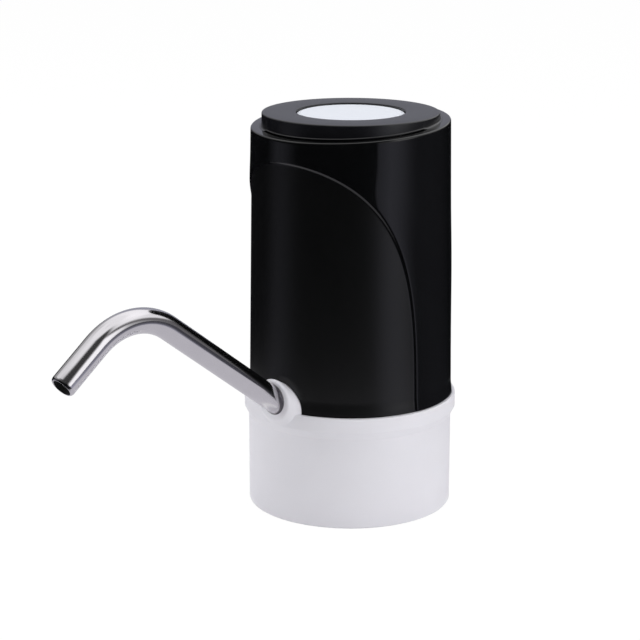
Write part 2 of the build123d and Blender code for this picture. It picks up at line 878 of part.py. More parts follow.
# Pump cover: plate with the two hose spigots under it
with BuildPart() as pump_cover:
    with BuildSketch(Plane.XY.offset(chassis_top)):
        pump_outline()
        pump_holes(pump_screw_places, small_screw_radius + hole_clearance)
    extrude(amount=cover_thickness)
    with BuildSketch(Plane.XY.offset(chassis_top - spigot_length)):
        with Locations(inlet_place, outlet_place):
            Circle(tube_radius)
    extrude(amount=spigot_length + embed)
    with BuildSketch(Plane.XY.offset(chassis_top - spigot_length)):
        with Locations(inlet_place, outlet_place):
            Circle(port_radius)
    extrude(amount=spigot_length + cover_thickness, mode=Mode.SUBTRACT)
    with BuildSketch(Plane.XY.offset(cover_top - pin_seat)):
        with Locations(driven_place):
            Circle(pin_radius + press_gap)
    extrude(amount=pin_seat, mode=Mode.SUBTRACT)
finish(pump_cover, "pump_cover")

with BuildPart() as pump_gasket:
    with BuildSketch(Plane.XY.offset(cover_top)):
        pump_outline()
        chamber_outline()
        pump_holes(pump_screw_places, small_screw_radius + hole_clearance)
    extrude(amount=pump_gasket_thickness)
finish(pump_gasket, "pump_gasket")

# Pump body: gear chamber below, web with the shaft seal and the motor's seat above
with BuildPart() as pump_body:
    with BuildSketch(Plane.XY.offset(chamber_bottom)):
        pump_outline()
        chamber_outline()
        pump_holes(pump_screw_places, small_screw_radius + press_gap)
        pump_holes(motor_screw_places, small_head_radius + hole_clearance)
    extrude(amount=chamber_top - chamber_bottom)
    with BuildSketch(Plane.XY.offset(chamber_top)):
        pump_outline()
        pump_holes(motor_screw_places, small_screw_radius + hole_clearance)
        pump_holes([drive_place], shaft_radius + hole_clearance)
    extrude(amount=pump_web)
    with BuildSketch(Plane.XY.offset(chamber_top)):
        with Locations(*motor_screw_places):
            Circle(small_head_radius + hole_clearance)
    extrude(amount=pump_web - motor_screw_seat, mode=Mode.SUBTRACT)
    with BuildSketch(Plane.XY.offset(chamber_top)):
        with Locations(driven_place):
            Circle(pin_radius + press_gap)
    extrude(amount=pin_seat, mode=Mode.SUBTRACT)
    seat_depth = motor_boss_height + running_fit
    with BuildSketch(drive_plane(pump_top - seat_depth)):
        Circle(motor_boss_radius + running_fit)
    extrude(amount=seat_depth, mode=Mode.SUBTRACT)
    with BuildSketch(drive_plane(pump_top - seat_depth - seal_thickness)):
        Circle(seal_radius)
    extrude(amount=seal_thickness, mode=Mode.SUBTRACT)
finish(pump_body, "pump_body")

with BuildPart() as shaft_seal:
    with BuildSketch(drive_plane(pump_top - seat_depth - seal_thickness)):
        Circle(seal_radius - press_gap)
        Circle(shaft_radius + running_fit, mode=Mode.SUBTRACT)
    extrude(amount=seal_thickness - running_fit)
finish(shaft_seal, "shaft_seal")

with BuildPart() as pump_screws:
    with BuildSketch(Plane.XY.offset(chassis_bottom - small_head_height)):
        with Locations(*pump_screw_places):
            Circle(small_head_radius)
    extrude(amount=small_head_height)
    with BuildSketch(Plane.XY.offset(chassis_bottom)):
        with Locations(*pump_screw_places):
            Circle(small_screw_radius)
    extrude(amount=chamber_bottom - chassis_bottom + pump_screw_grip)
finish(pump_screws, "pump_screws")


def involute(angle):
    """Involute function of an angle in radians."""
    return tan(angle) - angle


def polar(radius, angle):
    """Point at a radius and an angle in radians."""
    return (radius * cos(angle), radius * sin(angle))


def gear_face(plane, bore):
    """Spur gear face with involute flanks and a bore, a tooth on the plane's +X."""
    root_radius = gear_radius - gear_module * gear_dedendum
    flank_radius = gear_radius * cos(radians(gear_pressure_angle))
    half_tooth = (pi * gear_module / 2 - gear_backlash) / (2 * gear_radius)
    half_tooth += involute(radians(gear_pressure_angle))
    pitch = 2 * pi / gear_teeth
    flank = []
    for step in range(flank_points):
        radius = flank_radius + (gear_tip_radius - flank_radius) * step / (flank_points - 1)
        flank.append((radius, half_tooth - involute(acos(flank_radius / radius))))
    tip_angle = flank[-1][1]
    with BuildSketch(plane) as face:
        with BuildLine():
            for tooth in range(gear_teeth):
                turn = tooth * pitch
                Line(polar(root_radius, turn - half_tooth), polar(flank_radius, turn - half_tooth))
                Spline(*[polar(radius, turn - angle) for radius, angle in flank])
                tip = (-tip_angle, 0, tip_angle)
                ThreePointArc(*[polar(gear_tip_radius, turn + angle) for angle in tip])
                Spline(*[polar(radius, turn + angle) for radius, angle in reversed(flank)])
                Line(polar(flank_radius, turn + half_tooth), polar(root_radius, turn + half_tooth))
                gap = (half_tooth, pitch / 2, pitch - half_tooth)
                ThreePointArc(*[polar(root_radius, turn + angle) for angle in gap])
        make_face()
        Circle(bore, mode=Mode.SUBTRACT)
    return face.sketch


# Gear on the motor's shaft
with BuildPart() as drive_gear:
    drive_face = drive_plane(chamber_bottom + gear_end_float)
    extrude(gear_face(drive_face, shaft_radius + press_gap), amount=gear_width)
finish(drive_gear, "drive_gear")

# Gear that turns on its pin, half a tooth round so that the two mesh
with BuildPart() as driven_gear:
    driven_plane = Plane(origin=(*driven_place, chamber_bottom + gear_end_float))
    half_pitch_plane = driven_plane.rotated((0, 0, 180 / gear_teeth))
    extrude(gear_face(half_pitch_plane, pin_radius + running_fit), amount=gear_width)
finish(driven_gear, "driven_gear")

with BuildPart() as driven_gear_pin:
    with BuildSketch(Plane.XY.offset(cover_top - pin_seat)):
        with Locations(driven_place):
            Circle(pin_radius)
    extrude(amount=chamber_top - cover_top + 2 * pin_seat)
finish(driven_gear_pin, "driven_gear_pin")

# Motor can with its front boss
with BuildPart() as motor_can:
    with BuildSketch(drive_plane(pump_top)):
        Circle(motor_radius)
    extrude(amount=motor_can_length)
    with BuildSketch(drive_plane(pump_top + motor_wall)):
        Circle(can_inner)
    extrude(amount=motor_can_length - motor_wall, mode=Mode.SUBTRACT)
    with BuildSketch(drive_plane(pump_top - motor_boss_height)):
        Circle(motor_boss_radius)
    extrude(amount=motor_boss_height)
    with BuildSketch(drive_plane(pump_top - motor_boss_height)):
        Circle(bearing_radius + press_gap)
    extrude(amount=motor_boss_height + motor_wall, mode=Mode.SUBTRACT)
    with BuildSketch(Plane.XY.offset(pump_top)):
        with Locations(*motor_screw_places):
            Circle(small_screw_radius + press_gap)
    extrude(amount=motor_wall, mode=Mode.SUBTRACT)
finish(motor_can, "motor_can")

# Moulded end of the motor, with slots for the terminals
with BuildPart() as motor_endcap:
    with BuildSketch(drive_plane(can_top - endcap_plug)):
        Circle(can_inner - running_fit)
        Circle(can_inner - running_fit - endcap_plug_wall, mode=Mode.SUBTRACT)
    extrude(amount=endcap_plug + embed)
    with BuildSketch(drive_plane(can_top)):
        Circle(motor_radius)
    extrude(amount=endcap_plate)
    with BuildSketch(drive_plane(endcap_top)):
        Circle(endcap_boss_radius)
    extrude(amount=endcap_boss_height)
    with BuildSketch(drive_plane(can_top)):
        Circle(shaft_radius + hole_clearance)
        with Locations((-terminal_offset, 0), (terminal_offset, 0)):
            Rectangle(terminal_thickness + 2 * press_gap, terminal_width + 2 * press_gap)
    extrude(amount=endcap_plate + endcap_boss_height, mode=Mode.SUBTRACT)
    with BuildSketch(drive_plane(endcap_top + endcap_boss_height - bearing_length)):
        Circle(bearing_radius + press_gap)
    extrude(amount=bearing_length, mode=Mode.SUBTRACT)
finish(motor_endcap, "motor_endcap")

# Bushes at both ends of the motor
with BuildPart() as motor_bearings:
    bush_heights = (pump_top - motor_boss_height, endcap_top + endcap_boss_height - bearing_length)
    for height in bush_heights:
        with BuildSketch(drive_plane(height)):
            Circle(bearing_radius)
            Circle(shaft_radius + running_fit, mode=Mode.SUBTRACT)
        extrude(amount=bearing_length)
finish(motor_bearings, "motor_bearings")

# Two curved magnets inside the can
with BuildPart() as motor_magnets:
    with BuildSketch(drive_plane(pump_top + (motor_can_length - magnet_length) / 2)):
        Circle(can_inner - press_gap)
        Circle(magnet_inner, mode=Mode.SUBTRACT)
        Rectangle(2 * can_inner, magnet_gap, mode=Mode.SUBTRACT)
    extrude(amount=magnet_length)
finish(motor_magnets, "motor_magnets")

# Terminals with the brush arms that reach in to the commutator
with BuildPart() as motor_terminals:
    arm_end = commutator_radius + running_fit
    arm_middle = (arm_end + terminal_offset) / 2
    with BuildSketch(drive_plane(commutator_bottom + brush_height)):
        with Locations((-terminal_offset, 0), (terminal_offset, 0)):
            Rectangle(terminal_thickness, terminal_width)
    extrude(amount=endcap_top + terminal_height - commutator_bottom - brush_height)
    with BuildSketch(drive_plane(commutator_bottom + brush_height)):
        with Locations((-arm_middle, 0), (arm_middle, 0)):
            Rectangle(terminal_offset - arm_end, terminal_width)
    extrude(amount=brush_height)
finish(motor_terminals, "motor_terminals")

# Wires from the terminals up to the board
with BuildPart() as motor_leads:
    with BuildSketch(drive_plane(endcap_top + terminal_height)):
        with Locations((-terminal_offset, 0), (terminal_offset, 0)):
            Circle(lead_radius)
    extrude(amount=board_bottom - endcap_top - terminal_height)
finish(motor_leads, "motor_leads")

# Shaft, slotted core, coils and commutator of the motor
with BuildPart() as motor_shaft:
    with BuildSketch(drive_plane(chamber_bottom + gear_end_float)):
        Circle(shaft_radius)
    extrude(amount=endcap_top + endcap_boss_height + shaft_end - chamber_bottom - gear_end_float)
finish(motor_shaft, "motor_shaft")

shoe_inner = core_radius - core_shoe_thickness
with BuildPart() as rotor_core:
    with BuildSketch(drive_plane(core_bottom)):
        Circle(core_radius)
        Circle(shoe_inner, mode=Mode.SUBTRACT)
        with PolarLocations(core_radius, pole_count, start_angle=180 / pole_count):
            Rectangle(2 * (core_shoe_thickness + embed), core_slot, mode=Mode.SUBTRACT)
        with PolarLocations((shoe_inner + embed) / 2, pole_count):
            Rectangle(shoe_inner + embed, core_arm_width)
        Circle(core_hub_radius)
        Circle(shaft_radius + press_gap, mode=Mode.SUBTRACT)
    extrude(amount=core_length)
finish(rotor_core, "rotor_core")

with BuildPart() as rotor_windings:
    coil_inner = core_hub_radius + winding_setback
    coil_half = core_arm_width / 2 + winding_thickness
    coil_length = sqrt((shoe_inner - winding_setback) ** 2 - coil_half**2) - coil_inner
    with BuildSketch(drive_plane(core_bottom - winding_height)):
        with PolarLocations(coil_inner + coil_length / 2, pole_count):
            Rectangle(coil_length, 2 * coil_half)
    extrude(amount=core_length + 2 * winding_height)
    with BuildSketch(drive_plane(core_bottom - press_gap)):
        with PolarLocations(coil_inner + coil_length / 2, pole_count):
            Rectangle(coil_length + embed, core_arm_width + 2 * press_gap)
    extrude(amount=core_length + 2 * press_gap, mode=Mode.SUBTRACT)
finish(rotor_windings, "rotor_windings")

with BuildPart() as commutator:
    with BuildSketch(drive_plane(commutator_bottom)):
        Circle(commutator_radius)
        Circle(shaft_radius + press_gap, mode=Mode.SUBTRACT)
    extrude(amount=commutator_length)
finish(commutator, "commutator")

# Screws that hold the motor to the pump body, heads below
with BuildPart() as motor_screws:
    motor_screw_bottom = pump_top - motor_screw_seat
    with BuildSketch(Plane.XY.offset(motor_screw_bottom - small_head_height)):
        with Locations(*motor_screw_places):
            Circle(small_head_radius)
    extrude(amount=small_head_height)
    with BuildSketch(Plane.XY.offset(motor_screw_bottom)):
        with Locations(*motor_screw_places):
            Circle(small_screw_radius)
    extrude(amount=motor_screw_seat + motor_screw_grip)
finish(motor_screws, "motor_screws")

# Fitting for the dip hose: spigots below and above the deck
with BuildPart() as inlet_nipple:
    nipple_seat = deck_top + nipple_seal_height
    nipple_flange_top = nipple_seat + nipple_flange_height
    stem_bottom = neck_depth - nut_height - embed
    nipple_bottom = stem_bottom - nipple_length
    with BuildSketch(inlet_plane):
        with BuildLine():
            Polyline(
                (nipple_bore, nipple_bottom),
                (tube_radius - nipple_tip, nipple_bottom),
                (tube_radius, nipple_bottom + nipple_tip),
                (tube_radius, stem_bottom),
                (nipple_stem_radius, stem_bottom),
                (nipple_stem_radius, nipple_seat),
                (nipple_flange_radius, nipple_seat),
                (nipple_flange_radius, nipple_flange_top),
                (tube_radius, nipple_flange_top),
                (tube_radius, nipple_flange_top + nipple_top_length),
                (nipple_bore, nipple_flange_top + nipple_top_length),
                close=True,
            )
        make_face()
    revolve(axis=Axis((*inlet_place, 0), (0, 0, 1)))
finish(inlet_nipple, "inlet_nipple")

with BuildPart() as nipple_seal:
    with BuildSketch(Plane.XY.offset(deck_top)):
        with Locations(inlet_place):
            Circle(nipple_flange_radius)
            Circle(nipple_stem_radius + running_fit, mode=Mode.SUBTRACT)
    extrude(amount=nipple_seal_height)
finish(nipple_seal, "nipple_seal")

with BuildPart() as nipple_nut:
    with BuildSketch(Plane.XY.offset(neck_depth - nut_height)):
        with Locations(inlet_place):
            RegularPolygon(nut_width / 2, 6, major_radius=False)
            Circle(nipple_stem_radius + running_fit, mode=Mode.SUBTRACT)
    extrude(amount=nut_height)
finish(nipple_nut, "nipple_nut")

# Straight hose from the nipple up to the pump
with BuildPart() as inlet_hose:
    hose_bottom = nipple_flange_top + hose_end_gap
    hose_top = chassis_top - hose_end_gap
    with BuildSketch(Plane.XY.offset(hose_bottom)):
        with Locations(inlet_place):
            Circle(hose_radius)
            Circle(hose_bore, mode=Mode.SUBTRACT)
    extrude(amount=hose_top - hose_bottom)
finish(inlet_hose, "inlet_hose")

# Moulded elbow from the pump's outlet round to the spout's inner end
elbow_turn = 90 + spout_angle
elbow_tangent = elbow_radius * tan(radians(elbow_turn / 2))
corner_distance = -elbow_run / cos(radians(spout_angle))
corner_height = spout_point(corner_distance)[1]
elbow_start = spout_point(corner_distance + elbow_tangent)
elbow_end = (outlet_reach, corner_height + elbow_tangent)
elbow_centre = (outlet_reach + elbow_radius, corner_height + elbow_tangent)
middle_angle = radians(180 + elbow_turn / 2)
elbow_middle = (
    elbow_centre[0] + elbow_radius * cos(middle_angle),
    elbow_centre[1] + elbow_radius * sin(middle_angle),
)
with BuildPart() as outlet_elbow:
    with BuildLine(spout_plane):
        Line(spout_point(socket_start - hose_end_gap), elbow_start)
        ThreePointArc(elbow_start, elbow_middle, elbow_end)
        Line(elbow_end, (outlet_reach, hose_top))
    with BuildSketch(spout_section(socket_start - hose_end_gap)):
        Circle(hose_radius)
        Circle(hose_bore, mode=Mode.SUBTRACT)
    sweep()
finish(outlet_elbow, "outlet_elbow")

# Bent steel spout
bend_start = spout_point(spout_straight)
down = (sin(radians(spout_angle)), -cos(radians(spout_angle)))
bend_centre = (bend_start[0] + spout_bend_radius * down[0], bend_start[1] + spout_bend_radius * down[1])


def bend_point(turn):
    """Point on the spout's bend after a turn from its start."""
    angle = radians(90 + spout_angle - turn)
    return (
        bend_centre[0] + spout_bend_radius * cos(angle),
        bend_centre[1] + spout_bend_radius * sin(angle),
    )


bend_end = bend_point(spout_bend_angle)
end_angle = radians(spout_angle - spout_bend_angle)
spout_tip = (bend_end[0] + spout_end * cos(end_angle), bend_end[1] + spout_end * sin(end_angle))
with BuildPart() as spout_tube:
    with BuildLine(spout_plane):
        Line(spout_point(-spout_tail), bend_start)
        ThreePointArc(bend_start, bend_point(spout_bend_angle / 2), bend_end)
        Line(bend_end, spout_tip)
    with BuildSketch(spout_section(-spout_tail)):
        Circle(tube_radius)
        Circle(tube_radius - spout_wall, mode=Mode.SUBTRACT)
    sweep()
    fillet(faces().sort_by(Axis.Y)[0].edges(), spout_tip_round)
finish(spout_tube, "spout_tube")

# Seal ring in the boss
with BuildPart() as spout_o_ring:
    ring_plane = spout_section(o_ring_place)
    ring_radius = tube_radius + o_ring_clearance + o_ring_section
    with BuildSketch(Plane(ring_plane.origin, x_dir=ring_plane.x_dir, z_dir=ring_plane.y_dir)):
        with Locations((ring_radius, 0)):
            Circle(o_ring_section)
    revolve(axis=Axis(ring_plane.origin, ring_plane.z_dir))
finish(spout_o_ring, "spout_o_ring")

# Long screws from under the deck into the body's bosses
with BuildPart() as housing_screws:
    with BuildSketch(Plane.XY.offset(neck_depth)):
        with Locations(*screw_places):
            Circle(long_head_radius)
    extrude(amount=long_head_height)
    with BuildSketch(Plane.XY.offset(neck_depth + long_head_height)):
        with Locations(*screw_places):
            Circle(long_screw_radius)
    extrude(amount=chassis_top + long_screw_grip - neck_depth - long_head_height)
finish(housing_screws, "housing_screws")
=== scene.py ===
"""Looks of the water bottle pump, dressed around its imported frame.

Lengths are metres, written as millimetres times MM, and angles are degrees. +Z is up and the
spout points to -Y, as in the frame.
"""

import json
from math import atan2, cos, exp, hypot, pi, radians, sin, tan

import bpy
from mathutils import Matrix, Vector


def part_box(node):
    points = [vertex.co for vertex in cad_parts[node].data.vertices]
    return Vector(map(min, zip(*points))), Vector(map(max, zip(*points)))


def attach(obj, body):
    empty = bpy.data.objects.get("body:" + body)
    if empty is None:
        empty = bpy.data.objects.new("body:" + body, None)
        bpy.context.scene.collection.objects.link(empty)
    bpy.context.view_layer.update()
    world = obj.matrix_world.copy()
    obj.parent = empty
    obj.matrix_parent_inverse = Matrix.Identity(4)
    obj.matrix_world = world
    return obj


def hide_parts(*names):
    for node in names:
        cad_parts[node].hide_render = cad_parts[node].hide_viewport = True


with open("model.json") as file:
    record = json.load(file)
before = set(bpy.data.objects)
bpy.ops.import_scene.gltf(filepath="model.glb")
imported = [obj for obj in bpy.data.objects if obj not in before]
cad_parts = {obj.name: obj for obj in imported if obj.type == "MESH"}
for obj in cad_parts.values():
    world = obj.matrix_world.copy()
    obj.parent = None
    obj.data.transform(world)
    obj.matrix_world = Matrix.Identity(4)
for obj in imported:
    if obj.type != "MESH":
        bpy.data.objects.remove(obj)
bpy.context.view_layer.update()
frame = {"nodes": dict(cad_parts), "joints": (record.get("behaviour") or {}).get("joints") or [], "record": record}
MM = 0.001

# Camera, set as the photograph was taken
camera_place = (445.96 * MM, -479.07 * MM, 236.96 * MM)
camera_heading = 43.834
camera_pitch = 14.981
camera_lens = 113.14
camera_sensor = 36.0
camera_near = 10 * MM

# Meshes
corner_angle = 32.0
round_steps = 8

# Black body
body_height = 89.3 * MM
lip_height = 3.0 * MM
lip_thickness = 0.9 * MM
body_wall = 2.0 * MM
body_taper = 1.37 * MM
body_flare = 0.35 * MM
flare_height = 5.0 * MM
seam_round = 0.25 * MM
shoulder_round = 0.6 * MM
shoulder_slant = 3.5
opening_round = 0.3 * MM
shoulder_width = 4.83 * MM
ledge_depth = 3.0 * MM
ledge_thickness = 1.8 * MM
ledge_width = 3.1 * MM
body_columns = 720
body_row_height = 0.42 * MM

# Arches pressed into the body, as height, half angle and turn from the front or the back
arch_rise_power = 3.2
arch_turn_power = 2.1
front_arch = (82.4 * MM, 80.0, 3.0)
back_arch = (70.0 * MM, 56.0, 0.0)
arch_depth = 0.4 * MM
arch_bevel = 1.2 * MM
arch_floor = 0.955
arch_swell = 0.2 * MM
arch_swell_width = 9.0 * MM
arch_swell_fall = 3
arch_well_inside = -0.5

# Openings in the body
boss_root = (32.0 * MM, 37.0 * MM, 9.6 * MM)
boss_face = (36.9 * MM, 42.193 * MM, 7.1 * MM)
boss_clearance = 0.25 * MM
boss_cut_shares = (-0.5, 1.5)
boss_columns = 128
back_cut_depth = 8.0 * MM
port_size = (9.6 * MM, 3.8 * MM)
port_round = 1.6 * MM
window_offset = 8.5 * MM
window_radius = 1.25 * MM
window_columns = 48

# Lid and button plate
lid_columns = 256
lid_overhang = 1.5 * MM
lid_neck_wall = 1.8 * MM
lid_plate = 2.0 * MM
lid_edge_round = 0.5 * MM
lid_bead = 0.2 * MM
lid_fillet = 0.8 * MM
lid_foot_steps = 8
lid_gap = 0.3 * MM
lid_seat = 0.02 * MM
slot_middle = -55.0
slot_half_angle = 60.0
slot_end = 4.0
hole_round = 0.2 * MM
button_gap = 0.35 * MM
sleeve_wall = 1.6 * MM
sleeve_depth = 6.2 * MM
plate_bevel = (1.1 * MM, 0.35 * MM)
plate_round = 0.18 * MM
plate_middle = 0.4 * MM

# Spout
spout_radius = 4.0 * MM
spout_wall = 0.8 * MM
spout_tail = 11.3 * MM
spout_straight = 58.0 * MM
spout_bend_radius = 24.4 * MM
spout_bend_angle = 72.7
spout_end = 16.7 * MM
spout_columns = 96
spout_corner_angle = 50.0
spout_side = Vector((1, 0, 0))
straight_shares = (0.0, 0.15, 0.3, 0.5, 0.7, 0.85, 1.0)
end_shares = (0.3, 0.6, 1.0)
spout_bend_steps = 64
tip_steps = 10
tip_length = 1.1 * MM
tip_lip = 0.3 * MM
tip_opening = 3.0 * MM

# Studio: light levels, and cards that only show in gloss, by degrees round the object
world_light = 0.36
floor_glow = 0.95
floor_white = 1.02
floor_grey = (0.9, 0.9, 0.9)
white = (1.0, 1.0, 1.0)
floor_drop = 0.05 * MM
lamp_power = 7.0
lamp_target = (0, 0, 70 * MM)
soft_boxes = [
    ("left_box", (-0.9, -0.7, 0.7), (0.7, 0.9)),
    ("right_box", (1.2, 0.1, 0.6), (0.5, 0.9)),
    ("top_box", (0.0, 0.2, 1.3), (0.9, 0.9)),
]
studio_reach = 3.0
card_columns = 96
mat_inner = 0.036
mat_near = (0.125, 0.165)
mat_lift = 0.5 * MM
mat_near_grey = (0.69, 0.68, 0.72)
mat_tint = (0.96, 0.96, 1.14)
mat_levels = [
    (-180, 0.010), (-154, 0.008), (-146, 0.07), (-138, 0.19), (-128, 0.20), (-119, 0.115),
    (-110, 0.02), (-100, 0.006), (-50, 0.006), (-30, 0.010), (-18, 0.02), (-16, 0.30),
    (-1, 0.49), (7, 0.43), (15, 0.31), (23, 0.17), (32, 0.08), (52, 0.065), (76, 0.03),
    (94, 0.008), (180, 0.006),
]
dome_radius = 1.6
dome_step = 3
dome_horizon = [
    (-180, 0.006), (-100, 0.007), (-30, 0.010), (-18, 0.02), (-16, 0.30), (-4, 0.50), (2, 0.90),
    (7, 1.45), (20, 1.45), (27, 1.20), (31, 0.70), (36, 0.45), (42, 0.25), (52, 0.18), (60, 0.11),
    (69, 0.07), (108, 0.05), (160, 0.10), (180, 0.006),
]
dome_low = [
    (-180, 0.46), (-120, 0.33), (-95, 0.06), (-10, 0.05), (-5, 0.07), (0, 0.50), (4, 1.45),
    (14, 1.50), (24, 1.40), (40, 1.25), (60, 1.10), (105, 1.25), (165, 0.48), (180, 0.46),
]
dome_back = [(-180, 0), (108, 0), (120, 1), (146, 1), (165, 0), (180, 0)]
dome_back_grey = (0.42, 0.425, 0.49)
dome_middle = [
    (-180, 0.84), (-150, 1.00), (-130, 1.08), (-95, 0.30), (-60, 0.08), (-35, 0.06), (2, 0.06),
    (14, 0.95), (24, 1.20), (60, 1.42), (110, 1.36), (150, 1.22), (165, 1.15), (180, 0.84),
]
dome_top = (1.20, 1.20, 1.20)
dome_bands = ((13, 22), (36, 44), (59, 70))
streak_middle = 59
streak_slope = 1.31
streak_reach = (15, 28)
streak_core = 0.1
streak_tone = (0.18, 0.175, 0.18)

# Plain finishes, as dark tone, light tone, size of the grain, roughness, relief and metallic
plain_finishes = {
    "inner_plastic": ((0.055, 0.055, 0.060), (0.075, 0.075, 0.080), 0.4 * MM, 0.45, 0.02 * MM),
    "soft_rubber": ((0.022, 0.022, 0.022), (0.040, 0.040, 0.040), 0.3 * MM, 0.62, 0.02 * MM),
    "black_chip": ((0.012, 0.012, 0.012), (0.024, 0.024, 0.024), 0.12 * MM, 0.55, 0.01 * MM),
    "switch_button": ((0.44, 0.042, 0.034), (0.54, 0.056, 0.046), 0.2 * MM, 0.40, 0.01 * MM),
    "battery_wrap": ((0.03, 0.10, 0.30), (0.05, 0.14, 0.38), 5 * MM, 0.30, 0.02 * MM),
    "wire_sleeve": ((0.45, 0.02, 0.02), (0.55, 0.04, 0.03), 2 * MM, 0.40, 0.01 * MM),
    "magnet": ((0.035, 0.034, 0.034), (0.060, 0.058, 0.058), 0.25 * MM, 0.60, 0.03 * MM),
    "pump_plastic": ((0.70, 0.69, 0.66), (0.78, 0.77, 0.74), 0.5 * MM, 0.38, 0.02 * MM),
    "socket_steel": ((0.55, 0.55, 0.56), (0.66, 0.66, 0.67), 0.5 * MM, 0.20, 0.005 * MM, 1.0),
    "screw_steel": ((0.36, 0.36, 0.37), (0.52, 0.52, 0.53), 0.4 * MM, 0.24, 0.01 * MM, 1.0),
    "nickel_strip": ((0.58, 0.56, 0.52), (0.70, 0.68, 0.64), 0.5 * MM, 0.26, 0.01 * MM, 1.0),
    "motor_steel": ((0.48, 0.48, 0.49), (0.62, 0.62, 0.63), 1.5 * MM, 0.22, 0.01 * MM, 1.0),
    "bush_brass": ((0.50, 0.33, 0.12), (0.66, 0.46, 0.20), 0.3 * MM, 0.34, 0.02 * MM, 1.0),
    "rotor_steel": ((0.22, 0.22, 0.23), (0.34, 0.34, 0.35), 0.35 * MM, 0.38, 0.02 * MM, 1.0),
    "light_window": (
        (0.70, 0.72, 0.74), (0.80, 0.82, 0.84), 0.8 * MM, 0.18, 0.005 * MM, 0.0,
        {"Transmission Weight": 0.5},
    ),
    # Inside of the spout's bore: a near-black, barely glossy colour that paints the shade deep in the tube, not
    # the steel's own colour
    "bore_painted_shade": (
        (0.006, 0.006, 0.006), (0.010, 0.010, 0.010), 0.6 * MM, 0.55, 0.01 * MM, 0.0,
        {"Specular IOR Level": 0.12},
    ),
}

# Places read from the frame
housing_low, housing_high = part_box("upper_housing")
lid_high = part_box("top_lid")[1]
plate_low, plate_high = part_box("button_disc")
port_low, port_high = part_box("usb_socket")
spout_joint = next(joint for joint in frame["joints"] if joint["name"] == "spout_swivel")
seam = housing_low.z + lip_height
shoulder = seam + body_height
bottom_radius = housing_high.x - body_flare
top_radius = bottom_radius - body_taper
inner_radius = bottom_radius - body_wall
opening_radius = top_radius - shoulder_width
lid_radius = lid_high.x
plate_radius = plate_high.x
port_height = (port_low.z + port_high.z) / 2


class Value:
    """A node's output that can be used in Python expressions."""

    def __init__(self, finish, socket):
        self.finish = finish
        self.socket = socket

    def __getitem__(self, output):
        return Value(self.finish, self.socket.node.outputs[output])

    def __add__(self, other):
        return self.finish.maths("ADD", self, other)

    def __radd__(self, other):
        return self.finish.maths("ADD", other, self)

    def __sub__(self, other):
        return self.finish.maths("SUBTRACT", self, other)

    def __rsub__(self, other):
        return self.finish.maths("SUBTRACT", other, self)

    def __mul__(self, other):
        return self.finish.maths("MULTIPLY", self, other)

    def __rmul__(self, other):
        return self.finish.maths("MULTIPLY", other, self)

    def __truediv__(self, other):
        return self.finish.maths("DIVIDE", self, other)

    def __rtruediv__(self, other):
        return self.finish.maths("DIVIDE", other, self)

    def __pow__(self, other):
        return self.finish.maths("POWER", self, other)

    def __rpow__(self, other):
        return self.finish.maths("POWER", other, self)


class Finish:
    """A node tree of a material or of the world, with one method that adds any node."""

    def __init__(self, owner):
        self.owner = owner
        owner.use_nodes = True
        self.tree = owner.node_tree
        self.tree.nodes.clear()

    def node(self, kind, settings=None, sockets=None):
        """Add a node: its settings first, then the values or links of its sockets."""
        made = self.tree.nodes.new(kind)
        for name, value in (settings or {}).items():
            if name == "stops":
                ramp = made.color_ramp.elements
                while len(ramp) < len(value):
                    ramp.new(1.0)
                for element, (position, colour) in zip(ramp, value):
                    element.position = position
                    element.color = (*colour, 1.0)
            else:
                setattr(made, name, value)
        for name, value in (sockets or {}).items():
            if isinstance(value, Value):
                self.tree.links.new(value.socket, made.inputs[name])
            elif isinstance(value, tuple) and len(made.inputs[name].default_value) == 4:
                made.inputs[name].default_value = (*value, 1.0)
            else:
                made.inputs[name].default_value = value
        return Value(self, made.outputs[0]) if made.outputs else None

    def maths(self, operation, first, second=0.0):
        """Value of one Math node."""
        return self.node("ShaderNodeMath", {"operation": operation}, {0: first, 1: second})

    def point(self):
        """Place on the object, in metres."""
        return self.node("ShaderNodeTexCoord")["Object"]

    def stretched(self, scale):
        """Place on the object, drawn out along some axes."""
        return self.node("ShaderNodeMapping", {}, {"Vector": self.point(), "Scale": scale})

    def noise(self, size, detail=2.0, place=None):
        """Soft noise about 0.5, with blotches of a size in metres."""
        sockets = {"Vector": place or self.point(), "Scale": 1 / size, "Detail": detail}
        return self.node("ShaderNodeTexNoise", {}, sockets)["Fac"]

    def axes(self):
        """Place on the object as three values."""
        place = self.node("ShaderNodeSeparateXYZ", {}, {"Vector": self.point()})
        return place["X"], place["Y"], place["Z"]

    def mixed(self, share, first, second):
        """Colour that goes from the first to the second with a share from 0 to 1."""
        sockets = {0: share, 6: first, 7: second}
        return self.node("ShaderNodeMix", {"data_type": "RGBA"}, sockets)[2]

    def ramp(self, value, stops):
        """Colour from a value through stops."""
        return self.node("ShaderNodeValToRGB", {"stops": stops}, {"Fac": value})["Color"]

    def fade(self, value, span):
        """Smooth step from 0 to 1 where a value passes a span."""
        sockets = {"Value": value, "From Min": span[0], "From Max": span[1]}
        return self.node("ShaderNodeMapRange", {"interpolation_type": "SMOOTHSTEP"}, sockets)

    def bump(self, height, distance):
        """Normal with fine relief of a height in metres."""
        sockets = {"Height": height, "Distance": distance, "Strength": 1.0}
        return self.node("ShaderNodeBump", {}, sockets)

    def surface(self, sockets):
        """Close the material with one principled shader."""
        shader = self.node("ShaderNodeBsdfPrincipled", {}, sockets)
        self.node("ShaderNodeOutputMaterial", {}, {"Surface": shader})
        return self.owner


def new_finish(name):
    """Empty material's node tree."""
    return Finish(bpy.data.materials.new(name))


